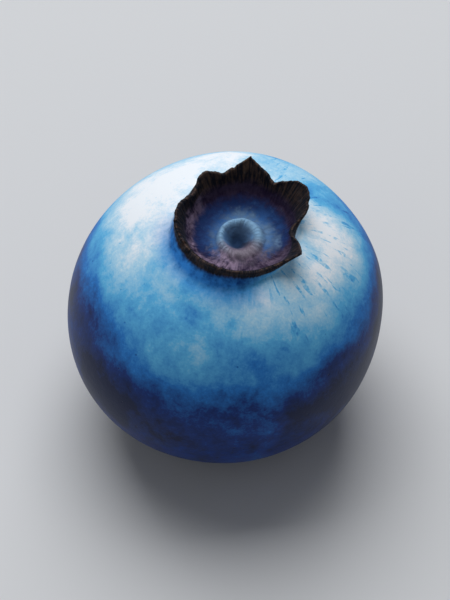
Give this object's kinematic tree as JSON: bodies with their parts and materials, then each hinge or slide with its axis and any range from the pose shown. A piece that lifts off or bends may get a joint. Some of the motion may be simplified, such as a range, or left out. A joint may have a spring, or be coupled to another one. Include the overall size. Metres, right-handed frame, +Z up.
{
  "type": "blueberry",
  "caption": "Ripe blueberry as picked, crown up: round fruit with a lobed dry crown round a shallow bowl, and a stem scar under it.",
  "frame": {"origin": "on the surface that the berry rests on, under the middle of its outer box", "axes": "+Z up through the crown, -Z out of the stem scar; the sharpest lobe of the crown points towards +Y, and the crown sits a little towards +X"},
  "size_m": [0.016, 0.016, 0.0154],
  "materials": {
    "blueberry_skin": "matte"
  },
  "bodies": {
    "root": {"blueberry": "blueberry_skin"}
  },
  "joints": []
}
